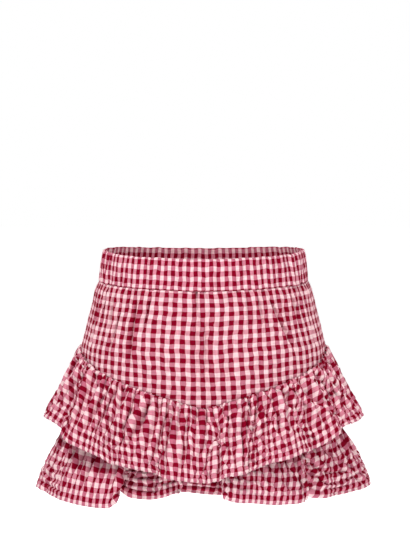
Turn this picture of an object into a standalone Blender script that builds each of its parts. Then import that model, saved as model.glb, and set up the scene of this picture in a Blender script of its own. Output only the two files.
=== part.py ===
"""Ruffle skort for a girl of about nine, worn and filled out, open at waist and legs.

An elasticated waistband carries a skirt body and the shorts inside it. The front of
the skirt body ends in a V seam, the back in a level one. A gathered ruffle is sewn
into that seam, over an under panel whose lower edge carries the second ruffle.

Metres, +Z up, +X to the wearer's left, the front faces -Y. The origin is the centre of the
waist opening. Angles run around the body in degrees: 0 is the centre front, 90 the
side seam at +X, 180 the centre back and -90 or 270 the side seam at -X.
"""

import math
from collections import namedtuple

import bpy

# ---------------------------------------------------------------- driving dimensions
WALL = 0.0012               # crinkled cotton, with its turned edges
GAP = 0.0003                # between pieces that are sewn to each other
BAND_WALL = 0.0030          # folded cloth around the elastic
BAND_EDGE = 0.0008          # softening of the band's edges
BAND_EDGE_ANGLE = 50.0      # degrees; flatter edges than this stay as they are
BAND_HEIGHT = 0.0340
BAND_BULGE = 0.0010         # how far the band's middle stands out

V_SIDE_HEIGHT = -0.1070     # seam of the top ruffle, at the side seams and the back
V_POINT_HEIGHT = -0.1624    # the same seam at the centre front
LOW_SEAM_FRONT = -0.1780    # lower edge of the under panel
LOW_SEAM_SIDE = -0.1840
LOW_SEAM_LAP = 0.0020       # the lower ruffle starts this far above that edge

TOP_FLARE_FRONT = 0.0360    # how far each ruffle's hem stands out from the body
TOP_FLARE_SIDE = 0.0375
TOP_FLARE_BACK = 0.0370
LOW_FLARE_FRONT = 0.0280
LOW_FLARE_SIDE = 0.0445
LOW_FLARE_BACK = 0.0420
LAYER_CLEARANCE = 0.0030    # inner face of the top ruffle to inner face of the lower
FOLD_GROWTH = 1.5           # folds deepen with this power of the way to the hem

SHORTS_CLEARANCE = 0.0007   # skirt body to shorts at the waist, past the facets' sag
SHORTS_EASE = 0.0060        # and this much more below the waist
SHORTS_EASE_DEPTH = 0.0400  # over this height the shorts move in from the waist seam
LEG_NARROWING = 0.18        # share of its depth that a leg loses below the crotch

# Outer face of the skirt body, a row for each level.
Level = namedtuple("Level", "height half_width front_depth back_depth")
FORM = (
    Level(-0.260, 0.1370, 0.1080, 0.1100),
    Level(-0.184, 0.1370, 0.1078, 0.1110),
    Level(-0.150, 0.1362, 0.1065, 0.1115),
    Level(-0.107, 0.1345, 0.1035, 0.1090),
    Level(-0.094, 0.1315, 0.1012, 0.1065),
    Level(-0.063, 0.1236, 0.0950, 0.0990),
    Level(-0.045, 0.1194, 0.0915, 0.0935),
    Level(-0.034, 0.1148, 0.0880, 0.0890),
    Level(0.000, 0.1100, 0.0840, 0.0850),
)

# How far the waist edge sags below its sides, from the centre front to the centre back.
Sag = namedtuple("Sag", "angle depth")
WAIST_SAG = (
    Sag(0.0, 0.0060),
    Sag(30.0, 0.0043),
    Sag(60.0, 0.0028),
    Sag(90.0, 0.0000),
    Sag(120.0, 0.0000),
    Sag(150.0, 0.0022),
    Sag(180.0, 0.0040),
)

# Hems of the two ruffles, around the body.
HemLevel = namedtuple("HemLevel", "angle height")
TOP_HEM = (
    HemLevel(-90.0, -0.1820),
    HemLevel(-68.0, -0.1880),
    HemLevel(-58.0, -0.2050),
    HemLevel(-35.0, -0.2215),
    HemLevel(-20.0, -0.2290),
    HemLevel(-5.0, -0.2360),
    HemLevel(9.0, -0.2335),
    HemLevel(18.0, -0.2255),
    HemLevel(30.0, -0.2145),
    HemLevel(47.0, -0.2035),
    HemLevel(56.0, -0.1940),
    HemLevel(70.0, -0.1865),
    HemLevel(90.0, -0.1825),
    HemLevel(135.0, -0.1890),
    HemLevel(180.0, -0.1860),
    HemLevel(230.0, -0.1895),
    HemLevel(270.0, -0.1820),
)
LOW_HEM = (
    HemLevel(-90.0, -0.2610),
    HemLevel(-62.0, -0.2630),
    HemLevel(-38.0, -0.2660),
    HemLevel(-28.0, -0.2570),
    HemLevel(-18.0, -0.2530),
    HemLevel(-8.0, -0.2480),
    HemLevel(2.0, -0.2520),
    HemLevel(12.0, -0.2555),
    HemLevel(26.0, -0.2595),
    HemLevel(45.0, -0.2600),
    HemLevel(62.0, -0.2585),
    HemLevel(90.0, -0.2570),
    HemLevel(135.0, -0.2600),
    HemLevel(180.0, -0.2570),
    HemLevel(230.0, -0.2600),
    HemLevel(270.0, -0.2610),
)

# Large folds at each hem: the middle, the reach to either side and the depth, out or in.
Fold = namedtuple("Fold", "angle reach depth")
TOP_FOLDS_FRONT = (
    Fold(-76.0, 9.0, 0.0020),
    Fold(-63.0, 8.0, -0.0080),
    Fold(-49.0, 9.0, 0.0050),
    Fold(-35.0, 8.0, -0.0055),
    Fold(-25.0, 7.0, 0.0030),
    Fold(-17.0, 7.0, -0.0040),
    Fold(-6.0, 7.0, 0.0025),
    Fold(4.0, 7.0, -0.0030),
    Fold(12.0, 7.0, 0.0035),
    Fold(20.0, 7.0, -0.0060),
    Fold(31.0, 9.0, 0.0050),
    Fold(46.0, 9.0, -0.0055),
    Fold(56.0, 7.0, 0.0035),
    Fold(64.0, 7.0, -0.0050),
    Fold(76.0, 9.0, 0.0020),
)
TOP_FOLDS_BACK = (
    Fold(105.0, 10.0, -0.0060),
    Fold(118.0, 9.0, 0.0050),
    Fold(131.0, 8.0, -0.0050),
    Fold(143.0, 9.0, 0.0045),
    Fold(158.0, 10.0, -0.0065),
    Fold(172.0, 9.0, 0.0050),
    Fold(184.0, 8.0, -0.0045),
    Fold(196.0, 9.0, 0.0040),
    Fold(209.0, 8.0, -0.0060),
    Fold(222.0, 10.0, 0.0055),
    Fold(237.0, 9.0, -0.0050),
    Fold(251.0, 10.0, 0.0045),
)
LOW_FOLDS_FRONT = (
    Fold(-75.0, 9.0, -0.0050),
    Fold(-59.0, 9.0, 0.0025),
    Fold(-43.0, 10.0, 0.0050),
    Fold(-29.0, 8.0, -0.0140),
    Fold(-17.0, 8.0, 0.0040),
    Fold(0.0, 10.0, -0.0220),
    Fold(14.0, 8.0, 0.0040),
    Fold(28.0, 10.0, 0.0050),
    Fold(42.5, 8.0, -0.0100),
    Fold(53.0, 7.0, 0.0040),
    Fold(63.0, 8.0, -0.0065),
    Fold(75.0, 9.0, 0.0030),
)
LOW_FOLDS_BACK = (
    Fold(104.0, 9.0, 0.0050),
    Fold(117.0, 8.0, -0.0090),
    Fold(131.0, 10.0, 0.0050),
    Fold(148.0, 9.0, -0.0100),
    Fold(163.0, 10.0, 0.0055),
    Fold(178.0, 8.0, -0.0080),
    Fold(194.0, 10.0, 0.0045),
    Fold(210.0, 8.0, -0.0110),
    Fold(226.0, 10.0, 0.0050),
    Fold(241.0, 8.0, -0.0070),
    Fold(255.0, 9.0, 0.0045),
)

# Shorts: how far the two legs are parted at each level, where 1 is the crotch point.
LegLevel = namedtuple("LegLevel", "height parting")
SHORTS_LEVELS = (
    LegLevel(-0.058, 0.00),
    LegLevel(-0.100, 0.10),
    LegLevel(-0.135, 0.38),
    LegLevel(-0.163, 0.68),
    LegLevel(-0.184, 0.88),
    LegLevel(-0.197, 0.97),
    LegLevel(-0.204, 1.00),
    LegLevel(-0.221, 1.04),
    LegLevel(-0.238, 1.06),
)

# Stretches around the body, each drawn back from the side seams by its shift.
Stretch = namedtuple("Stretch", "start end shift")
FRONT = Stretch(-90.0, 90.0, -0.5 * GAP)
BACK = Stretch(90.0, 270.0, 0.5 * GAP)
WHOLE = Stretch(-90.0, 270.0, 0.0)

BAND_COLUMNS = 48
BODY_COLUMNS = 22
RUFFLE_COLUMNS = 56
SHORTS_COLUMNS = 8
BAND_ROWS = 2
BODY_ROWS = 5
UNDER_ROWS = 3
RUFFLE_ROWS = 5


# ---------------------------------------------------------------- shapes
def between(rows, key, value, at):
    """Read a smooth curve through the rows' values at one place of their key."""
    places = [getattr(row, key) for row in rows]
    values = [getattr(row, value) for row in rows]
    if at <= places[0]:
        return values[0]
    if at >= places[-1]:
        return values[-1]
    first = max(i for i, place in enumerate(places) if place <= at)
    span = places[first + 1] - places[first]

    def slope(i):
        low, high = max(i - 1, 0), min(i + 1, len(rows) - 1)
        return (values[high] - values[low]) / (places[high] - places[low])

    t = (at - places[first]) / span
    start, end = values[first], values[first + 1]
    return (
        start * (1.0 + 2.0 * t) * (1.0 - t) ** 2
        + end * t * t * (3.0 - 2.0 * t)
        + slope(first) * span * t * (1.0 - t) ** 2
        + slope(first + 1) * span * t * t * (t - 1.0)
    )


def from_front(angle):
    """Angle from the centre front, 0 to 180, on either side."""
    return abs((angle + 180.0) % 360.0 - 180.0)


def around(angle, front, side, back):
    """Value that eases from the centre front over the side seams to the centre back."""
    forward = math.cos(math.radians(angle))
    middle = front if forward > 0.0 else back
    return side + (middle - side) * forward * forward


def waist_height(angle):
    return -between(WAIST_SAG, "angle", "depth", from_front(angle))


def band_foot_height(angle):
    return waist_height(angle) - BAND_HEIGHT


def v_seam_height(angle):
    """Straight slopes of the V in front, level over the back."""
    rise = min(from_front(angle) / 90.0, 1.0)
    return V_POINT_HEIGHT + (V_SIDE_HEIGHT - V_POINT_HEIGHT) * rise


def top_hem_height(angle):
    return between(TOP_HEM, "angle", "height", angle)


def low_seam_height(angle):
    return around(angle, LOW_SEAM_FRONT, LOW_SEAM_SIDE, LOW_SEAM_SIDE)


def low_hem_height(angle):
    return between(LOW_HEM, "angle", "height", angle)


def folds(rows, angle):
    """Sum of the folds that reach one place of a hem."""
    total = 0.0
    for fold in rows:
        away = abs(angle - fold.angle) / fold.reach
        if away < 1.0:
            total += fold.depth * 0.5 * (1.0 + math.cos(math.pi * away))
    return total


def low_ruffle_offset(angle, height):
    """Inner face of the lower ruffle, measured out from the skirt body."""
    seam = low_seam_height(angle) + LOW_SEAM_LAP
    along = min(max((seam - height) / (seam - low_hem_height(angle)), 0.0), 1.0)
    flare = around(angle, LOW_FLARE_FRONT, LOW_FLARE_SIDE, LOW_FLARE_BACK)
    rows = LOW_FOLDS_FRONT + LOW_FOLDS_BACK
    rounded = math.sin(0.5 * math.pi * along)
    return GAP + flare * rounded + folds(rows, angle) * along ** FOLD_GROWTH


def top_ruffle_offset(angle, height):
    """Inner face of the top ruffle, which also rests clear of the lower one."""
    seam = v_seam_height(angle)
    along = min(max((seam - height) / (seam - top_hem_height(angle)), 0.0), 1.0)
    flare = around(angle, TOP_FLARE_FRONT, TOP_FLARE_SIDE, TOP_FLARE_BACK)
    rows = TOP_FOLDS_FRONT + TOP_FOLDS_BACK
    own = GAP + flare * along + folds(rows, angle) * along ** FOLD_GROWTH
    if height > low_seam_height(angle) + LOW_SEAM_LAP:
        return own
    return max(own, low_ruffle_offset(angle, height) + LAYER_CLEARANCE)


def ring_point(angle, height, offset):
    """Point on the oval of the skirt body at one level, moved out by the offset."""
    across, forward = math.sin(math.radians(angle)), math.cos(math.radians(angle))
    half_width = between(FORM, "height", "half_width", height)
    side = "front_depth" if forward > 0.0 else "back_depth"
    depth = between(FORM, "height", side, height)
    normal = math.hypot(depth * across, half_width * forward)
    x = half_width * across + offset * depth * across / normal
    y = -depth * forward - offset * half_width * forward / normal
    return x, y, height


def ring_grid(stretch, columns, rows, top, bottom, offset):
    """Rows of points from the top edge down, each row running around the body."""
    grid = []
    for row in range(rows + 1):
        line = []
        for column in range(columns + 1):
            angle = stretch.start + (stretch.end - stretch.start) * column / columns
            height = top(angle) + (bottom(angle) - top(angle)) * row / rows
            x, y, z = ring_point(angle, height, offset(angle, height))
            line.append((x, y + stretch.shift, z))
        grid.append(line)
    return grid


def new_object(name, points, faces, material, collection):
    mesh = bpy.data.meshes.new(name)
    mesh.from_pydata(points, [], faces)
    mesh.materials.append(material)
    mesh.shade_smooth()
    shape = bpy.data.objects.new(name, mesh)
    collection.objects.link(shape)
    return shape


def grid_faces(rows, columns, first=0, closed=False):
    """Faces of a grid whose rows run to the left as seen from outside, top row first."""
    width = columns if closed else columns + 1
    faces = []
    for row in range(rows):
        for column in range(columns):
            here = first + row * width + column
            beside = first + row * width + (column + 1) % width
            faces.append((here, here + width, beside + width, beside))
    return faces


def cloth_panel(name, grid, moved_out, material, collection):
    """Open surface thickened to cloth, outwards from it or inwards."""
    points = [point for line in grid for point in line]
    faces = grid_faces(len(grid) - 1, len(grid[0]) - 1)
    panel = new_object(name, points, faces, material, collection)
    solidify = panel.modifiers.new("cloth", "SOLIDIFY")
    solidify.thickness = WALL
    solidify.offset = 1.0 if moved_out else -1.0
    solidify.use_even_offset = True
    return panel


def waistband(material, collection):
    """Closed ring of folded cloth, a little rounder at its middle than at its edges."""

    def bulge(angle, height):
        along = (waist_height(angle) - height) / BAND_HEIGHT
        return BAND_BULGE * math.sin(math.pi * min(max(along, 0.0), 1.0))

    grid = ring_grid(WHOLE, BAND_COLUMNS, BAND_ROWS, waist_height, band_foot_height, bulge)
    points = [point for line in grid for point in line[:-1]]
    faces = grid_faces(BAND_ROWS, BAND_COLUMNS, closed=True)
    band = new_object("waistband", points, faces, material, collection)
    solidify = band.modifiers.new("folded_cloth", "SOLIDIFY")
    solidify.thickness = BAND_WALL
    solidify.offset = -1.0
    solidify.use_even_offset = True
    bevel = band.modifiers.new("soft_edges", "BEVEL")
    bevel.width = BAND_EDGE
    bevel.segments = 1
    bevel.limit_method = "ANGLE"
    bevel.angle_limit = math.radians(BAND_EDGE_ANGLE)
    return band


def shorts_row(side, facing, height_at, parting, inward):
    """One level of a shorts piece, from its centre or inner seam to its side seam."""
    line = []
    for column in range(SHORTS_COLUMNS + 1):
        share = column / SHORTS_COLUMNS
        height = height_at(share)
        below_waist = (-BAND_HEIGHT - height) / SHORTS_EASE_DEPTH
        below_waist = min(max(below_waist, 0.0), 1.0)
        inset = WALL + SHORTS_CLEARANCE + SHORTS_EASE * below_waist + inward
        half_width = between(FORM, "height", "half_width", height) - inset
        depth_name = "front_depth" if facing < 0.0 else "back_depth"
        depth = between(FORM, "height", depth_name, height) - inset
        depth *= 1.0 - LEG_NARROWING * min(parting, 1.0) ** 2
        centre = 0.5 * parting * (half_width + inward)
        reach = half_width - centre
        start = math.asin(max(-centre / reach, -1.0))
        turn = start + (0.5 * math.pi - start) * share
        x = side * (0.5 * GAP + centre + reach * math.sin(turn))
        y = facing * (0.5 * GAP + depth * math.cos(turn))
        line.append((x, y, height))
    return line


def shorts_piece(name, side, facing, material, collection):
    """Quarter of the shorts: a wall between its outer and its inner levels."""

    def at_waist(share):
        angle = 90.0 * share if facing < 0.0 else 180.0 - 90.0 * share
        return band_foot_height(angle) - GAP

    points = []
    for inward in (0.0, WALL):
        points += shorts_row(side, facing, at_waist, 0.0, inward)
        for level in SHORTS_LEVELS:
            points += shorts_row(side, facing, lambda share: level.height, level.parting, inward)
    rows, columns = len(SHORTS_LEVELS), SHORTS_COLUMNS
    width, inner = columns + 1, (rows + 1) * (columns + 1)
    outside = grid_faces(rows, columns)
    inside = [tuple(reversed(face)) for face in grid_faces(rows, columns, first=inner)]
    corner = rows * width
    edge = list(range(width))
    edge += [row * width + columns for row in range(1, rows + 1)]
    edge += [corner + column for column in range(columns - 1, -1, -1)]
    edge += [row * width for row in range(rows - 1, 0, -1)]
    rim = []
    for i, here in enumerate(edge):
        after = edge[(i + 1) % len(edge)]
        rim.append((here, after, after + inner, here + inner))
    faces = outside + inside + rim
    if side * facing > 0.0:
        faces = [tuple(reversed(face)) for face in faces]
    return new_object(name, points, faces, material, collection)


# ---------------------------------------------------------------- materials
def cotton(name, colour, roughness=0.85):
    material = bpy.data.materials.new(name)
    material.use_nodes = True
    shader = material.node_tree.nodes["Principled BSDF"]
    shader.inputs["Base Color"].default_value = (*colour, 1.0)
    shader.inputs["Roughness"].default_value = roughness
    shader.inputs["Metallic"].default_value = 0.0
    material.diffuse_color = (*colour, 1.0)
    return material


# ---------------------------------------------------------------- the garment
for old in list(bpy.data.objects):
    bpy.data.objects.remove(old, do_unlink=True)

skort = bpy.data.collections.new("ruffle_skort")
bpy.context.scene.collection.children.link(skort)

waistband(cotton("waistband_cotton", (0.52, 0.14, 0.18)), skort)

for place, stretch in (("front", FRONT), ("back", BACK)):
    cloth_panel(
        f"yoke_{place}",
        ring_grid(
            stretch, BODY_COLUMNS, BODY_ROWS,
            top=lambda angle: band_foot_height(angle) - GAP,
            bottom=v_seam_height,
            offset=lambda angle, height: 0.0,
        ),
        moved_out=False,
        material=cotton(f"yoke_{place}_cotton", (0.55, 0.15, 0.19)),
        collection=skort,
    )
    cloth_panel(
        f"under_panel_{place}",
        ring_grid(
            stretch, BODY_COLUMNS, UNDER_ROWS,
            top=lambda angle: v_seam_height(angle) - GAP,
            bottom=low_seam_height,
            offset=lambda angle, height: 0.0,
        ),
        moved_out=False,
        material=cotton(f"under_panel_{place}_cotton", (0.50, 0.13, 0.17)),
        collection=skort,
    )
    cloth_panel(
        f"top_ruffle_{place}",
        ring_grid(
            stretch, RUFFLE_COLUMNS, RUFFLE_ROWS,
            top=v_seam_height,
            bottom=top_hem_height,
            offset=top_ruffle_offset,
        ),
        moved_out=True,
        material=cotton(f"top_ruffle_{place}_cotton", (0.58, 0.16, 0.20)),
        collection=skort,
    )
    cloth_panel(
        f"lower_ruffle_{place}",
        ring_grid(
            stretch, RUFFLE_COLUMNS, RUFFLE_ROWS,
            top=lambda angle: low_seam_height(angle) + LOW_SEAM_LAP,
            bottom=low_hem_height,
            offset=low_ruffle_offset,
        ),
        moved_out=True,
        material=cotton(f"lower_ruffle_{place}_cotton", (0.54, 0.14, 0.18)),
        collection=skort,
    )

shorts_cotton = cotton("shorts_cotton", (0.48, 0.12, 0.16))
for side_name, side in (("left", 1.0), ("right", -1.0)):
    for place, facing in (("front", -1.0), ("back", 1.0)):
        shorts_piece(f"shorts_{side_name}_{place}", side, facing, shorts_cotton, skort)
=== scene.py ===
"""Ruffle skort in crinkled red and white gingham, worn and filled out.

Metres, +Z up, +X to the wearer's left, the front faces -Y. Angles run around the body in
degrees: 0 is the centre front, 90 the side seam at +X, 180 the centre back.
"""

import math
from collections import namedtuple

import bpy
import numpy as np
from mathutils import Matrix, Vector
from mathutils.bvhtree import BVHTree


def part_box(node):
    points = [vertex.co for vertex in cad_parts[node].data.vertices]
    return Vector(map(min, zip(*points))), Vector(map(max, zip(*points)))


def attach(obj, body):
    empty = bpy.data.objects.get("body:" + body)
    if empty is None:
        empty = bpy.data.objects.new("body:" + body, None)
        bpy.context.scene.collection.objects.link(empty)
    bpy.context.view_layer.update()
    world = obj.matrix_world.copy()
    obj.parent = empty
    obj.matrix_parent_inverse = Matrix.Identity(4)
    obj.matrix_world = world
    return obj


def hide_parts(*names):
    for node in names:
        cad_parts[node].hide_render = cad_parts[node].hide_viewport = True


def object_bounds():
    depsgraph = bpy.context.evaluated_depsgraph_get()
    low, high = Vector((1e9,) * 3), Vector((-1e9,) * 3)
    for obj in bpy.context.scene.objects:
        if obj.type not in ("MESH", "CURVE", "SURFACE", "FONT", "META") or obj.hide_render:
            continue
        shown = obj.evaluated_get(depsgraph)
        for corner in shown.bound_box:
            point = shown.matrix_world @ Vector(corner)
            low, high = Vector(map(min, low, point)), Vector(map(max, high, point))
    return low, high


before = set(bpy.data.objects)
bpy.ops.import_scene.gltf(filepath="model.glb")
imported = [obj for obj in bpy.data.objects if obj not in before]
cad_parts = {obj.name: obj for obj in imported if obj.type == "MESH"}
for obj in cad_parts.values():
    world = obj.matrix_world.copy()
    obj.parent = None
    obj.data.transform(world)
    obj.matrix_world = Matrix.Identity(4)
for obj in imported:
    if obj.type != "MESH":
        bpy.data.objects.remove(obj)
cad_low, cad_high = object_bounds()

# ---------------------------------------------------------------- skirt body
# Two panels of yarn-dyed crinkled cotton, cut wider than the waistband and eased into it,
# so that short gathers run down from the band. They are joined at the side seams, and
# the front panel ends in a shallow V.

WALL = 0.0012  # crinkled cotton with its turned edges
CHECK = 0.005  # one square of the gingham
PITCH = 2.0 * CHECK
BAND_HEIGHT = 0.034
V_POINT_HEIGHT = float(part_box("yoke_front")[0].z)
V_SIDE_HEIGHT = float(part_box("yoke_back")[0].z)

# Outer face of the skirt body: height, half width, front depth and back depth.
HALF_WIDTH, FRONT_DEPTH, BACK_DEPTH = 1, 2, 3
FORM = (
    (-0.26, 0.137, 0.108, 0.11), (-0.184, 0.137, 0.1078, 0.111), (-0.15, 0.1362, 0.1065, 0.1115),
    (-0.107, 0.1345, 0.1035, 0.109), (-0.094, 0.1315, 0.1012, 0.1065), (-0.063, 0.1236, 0.095, 0.099),
    (-0.045, 0.1194, 0.0915, 0.0935), (-0.034, 0.1148, 0.088, 0.089), (0, 0.11, 0.084, 0.085),
)
# How far the waist's edge lies below its highest place, by the angle from the front.
WAIST_SAG = (
    (0, 0.006), (30, 0.0043), (60, 0.0028), (90, 0), (120, 0), (150, 0.0022), (180, 0.004),
)
HIP_WIDTH = 0.1345
HIP_DEPTH = 0.1035
HIP_DEGREE = math.pi * math.hypot(HIP_WIDTH, HIP_DEPTH) / math.sqrt(2.0) / 180.0

YOKE_CUT = 0.37  # width of the cloth in one panel
YOKE_COLUMNS = 640
YOKE_ROWS = 58
ROW_SHIFT = 0.0003  # first weft stripe below the waistband
SIDE_DRAW = 0.13  # how much thinner the cloth is drawn round the sides
TAKE_UP = 0.6  # share of a crease's own cloth that narrows the checks
ROWS_ALIKE = 9  # checks keep their width over this many rows up and down
ROW_STRETCH = (1.035, 1.08, 1.05)  # rows drawn apart in front, at the sides and behind
MAIN_CREASES = 2.7  # the placed creases are built this much deeper than tabled
SEAM_GAP = 0.00005  # sewn edges meet without showing the inside
EDGE_SHARE = 0.004  # a last narrow row keeps the turned edge crisp
EDGE_DIP = 0.0003  # the cloth dips this far where it is sewn in
SEAM_EDGE = 0.002  # over this height above the ruffle seam
BAND_EDGE = 0.0022  # and this one below the waistband
FIRM_BELOW_BAND = 0.01  # the swells come up over this height

# Chance swells of the crinkled cloth, each with its size across, its size down and its height.
YOKE_SWELLS = ((0.011, 0.03, 0.0006), (0.003, 0.011, 0.0003), (0.006, 0.005, 0.00028))


def rows_of(kind, rows):
    """Rows of numbers in the units of their kind, each under the kind's own names."""
    return tuple(kind(*(value / unit for value, unit in zip(row, kind.UNITS))) for row in rows)


# A crease runs down the cloth from one place to another. Negative depth is a trough, and
# with a lap the cloth on one side of it stands over the other, left or right. Tables hold
# its start and end in hundredths, and its width and depth in tenths of a millimetre.
Crease = namedtuple("Crease", "angle foot_angle start end width depth lap", defaults=(0.0,))
Crease.UNITS = (1, 1, 100, 100, 10000, 10000)
LAP_REACH = 0.006
SHOULDER = 0.32  # the cloth beside a trough stands up by this share of its depth
SHOULDER_PLACE = 2.3  # that many widths away
SHOULDER_WIDTH = 1.1
YOKE_FRONT_CREASES = rows_of(Crease, (
    (-3.8, -3.4, 0, 30, 18, -9), (-2.6, -2, 12, 110, 28, -14), (1.6, 0.9, 14, 110, 26, -13),
    (-0.4, -0.6, 20, 110, 24, 8), (6.5, 5, 10, 95, 50, 12), (-36.5, -36, 2, 92, 16, -19),
    (-28, -30.6, 4, 50, 13, -13), (-46, -50.2, 20, 85, 15, -15), (-54, -52, 2, 60, 15, -13),
    (-62, -59.5, 0, 55, 14, -13), (-70, -66, 5, 90, 18, -15), (-21, -22, 30, 95, 34, -7),
    (-12, -13, 5, 60, 30, -6), (14, 12, 25, 95, 34, -7), (22.5, 23.5, 3, 50, 16, -9),
    (28.6, 31.5, 2, 45, 13, -12), (34.8, 50, 2, 85, 15, -17), (44.5, 46.5, 8, 40, 14, -8),
    (52, 55.5, 2, 60, 16, -12), (58, 60, 0, 45, 13, -10), (64.5, 67, 10, 90, 16, -12),
    (71, 72.5, 0, 60, 14, -10),
))
YOKE_BACK_CREASES = rows_of(Crease, (
    (107, 105, 0, 70, 15, -14), (118, 114, 5, 95, 17, -14), (127, 129, 0, 50, 14, -11),
    (139, 136, 2, 85, 16, -13), (152, 154, 10, 80, 30, -8), (163, 160, 2, 55, 15, -12),
    (177.5, 178.5, 8, 110, 28, -19), (182.5, 181.8, 12, 110, 26, -17), (196, 199, 2, 60, 16, -10),
    (207, 205, 15, 90, 32, -8), (219, 224, 2, 90, 16, -14), (231, 235, 0, 50, 14, -11),
    (243, 247, 5, 95, 17, -14), (254, 256, 0, 60, 14, -13),
))


def between(rows, at, column=1, unit=1):
    """Read a smooth curve through one column of the rows, whose first column is the place."""
    table = np.array(rows, float)
    places, values = table[:, 0], table[:, column] / unit
    at = np.clip(at, places[0], places[-1])
    last = len(rows) - 1
    low = np.maximum(np.arange(last + 1) - 1, 0)
    high = np.minimum(np.arange(last + 1) + 1, last)
    slope = (values[high] - values[low]) / (places[high] - places[low])
    i = np.clip(np.searchsorted(places, at, side="right") - 1, 0, last - 1)
    span = places[i + 1] - places[i]
    t = (at - places[i]) / span
    curve = values[i] * (1.0 + 2.0 * t) * (1.0 - t) ** 2
    curve += values[i + 1] * t * t * (3.0 - 2.0 * t)
    curve += slope[i] * span * t * (1.0 - t) ** 2
    curve += slope[i + 1] * span * t * t * (t - 1.0)
    return curve


def eased(low, high, at):
    """0 below low, 1 above high, with a soft change between."""
    t = np.clip((at - low) / (high - low), 0.0, 1.0)
    return t * t * (3.0 - 2.0 * t)


def around(angle, front, side, back):
    """Value that eases from the centre front over the side seams to the centre back."""
    forward = np.cos(np.radians(angle))
    middle = np.where(forward > 0.0, front, back)
    return side + (middle - side) * forward * forward


def from_front(angle):
    """Angle from the centre front, 0 to 180, on either side."""
    return np.abs((angle + 180.0) % 360.0 - 180.0)


def waist_height(angle):
    return -between(WAIST_SAG, from_front(angle))


def band_foot_height(angle):
    return waist_height(angle) - BAND_HEIGHT


def v_seam_height(angle):
    """Straight slopes of the V in front, level over the back."""
    rise = np.minimum(from_front(angle) / 90.0, 1.0)
    return V_POINT_HEIGHT + (V_SIDE_HEIGHT - V_POINT_HEIGHT) * rise


def ring_points(angle, height, offset):
    """Points on the oval of the skirt body at each level, moved out by the offset."""
    across, forward = np.sin(np.radians(angle)), np.cos(np.radians(angle))
    half_width = between(FORM, height, HALF_WIDTH)
    front = between(FORM, height, FRONT_DEPTH)
    back = between(FORM, height, BACK_DEPTH)
    depth = np.where(forward > 0.0, front, back)
    normal = np.hypot(depth * across, half_width * forward)
    x = half_width * across + offset * depth * across / normal
    y = -depth * forward - offset * half_width * forward / normal
    return np.stack([x, y, height], axis=-1)


def creased(rows, angle, share):
    """How far the creases move each point of the cloth, out or in."""
    moved = np.zeros(angle.shape)
    for crease in rows:
        along = (share - crease.start) / (crease.end - crease.start)
        middle = crease.angle + (crease.foot_angle - crease.angle) * along
        aside = (angle - middle) * HIP_DEGREE
        away = aside / (crease.width * (0.8 + 0.5 * along.clip(0.0, 1.0)))
        if crease.depth < 0.0:
            across = np.exp(-np.abs(away) ** 1.5)
            beside = (np.abs(away) - SHOULDER_PLACE) / SHOULDER_WIDTH
            across -= SHOULDER * np.exp(-(beside ** 2))
        else:
            across = np.exp(-away * away)
        fade = 1.0 - eased(0.55, 1.0, along)
        if crease.start > 0.0:
            fade *= eased(0.0, 0.25, along)
        else:
            fade *= along >= 0.0
        over = crease.lap * np.tanh(1.6 * away) * np.exp(-np.abs(aside) / LAP_REACH)
        moved += fade * (crease.depth * across + over)
    return moved


def uneven(seed, across, down, size_across, size_down):
    """Smooth chance swells between -1 and 1, of the given sizes in metres."""
    chance = np.random.default_rng(seed)
    x = (across - across.min()) / size_across
    y = (down - down.min()) / size_down
    field = chance.uniform(-1.0, 1.0, (int(y.max()) + 3, int(x.max()) + 3))
    i, j = y.astype(int), x.astype(int)
    fy, fx = y - i, x - j
    fy, fx = fy * fy * (3.0 - 2.0 * fy), fx * fx * (3.0 - 2.0 * fx)
    top = field[i, j] * (1.0 - fx) + field[i, j + 1] * fx
    foot = field[i + 1, j] * (1.0 - fx) + field[i + 1, j + 1] * fx
    return top * (1.0 - fy) + foot * fy


def swells(seed, across, down, sizes):
    """Chance swells of several sizes on top of each other."""
    return sum(uneven(seed + i, across, down, wide, tall) * high
               for i, (wide, tall, high) in enumerate(sizes))


def short_gathers(seed, start, end, spacing, reach, width, depth):
    """Small troughs that run down from a gathered seam, none like its neighbour."""
    chance = np.random.default_rng(seed)
    rows = []
    angle = start + spacing * chance.uniform(0.2, 0.8)
    while angle < end:
        rows.append(Crease(
            angle,
            angle + chance.normal(0.0, 0.6),
            0.0,
            reach * chance.uniform(0.35, 1.0) ** 1.5 * chance.choice([0.6, 1.0, 1.5]),
            width * chance.uniform(0.7, 1.3),
            -depth * chance.uniform(0.35, 1.2),
            depth * chance.uniform(-0.45, 0.45),
        ))
        angle += spacing * chance.uniform(0.55, 1.5)
    return rows


def run_of_cloth(points, smooth_points, grain, cut, rows_alike):
    """How far along the cut each point lies: creases use up cloth of their own."""
    steps = np.linalg.norm(np.diff(points, axis=1), axis=2)
    smooth_steps = np.linalg.norm(np.diff(smooth_points, axis=1), axis=2)
    taken = np.pad((steps / smooth_steps) ** TAKE_UP, ((rows_alike, rows_alike), (0, 0)), "edge")
    total = np.concatenate([np.zeros((1, taken.shape[1])), np.cumsum(taken, axis=0)])
    window = 2 * rows_alike + 1
    weight = np.diff(grain, axis=1) * (total[window:] - total[:-window]) / window
    run = np.concatenate([np.zeros((len(points), 1)), np.cumsum(weight, axis=1)], axis=1)
    return run * cut / run[:, -1:]


def drawn_thin(angle):
    """Grain that spends less cloth round the sides than across the front and the back."""
    turn = np.sin(np.radians(angle))
    across = np.where(angle > 90.0, 2.0 - turn, turn)
    return (1.0 - SIDE_DRAW) * angle + SIDE_DRAW * 90.0 * across


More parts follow.
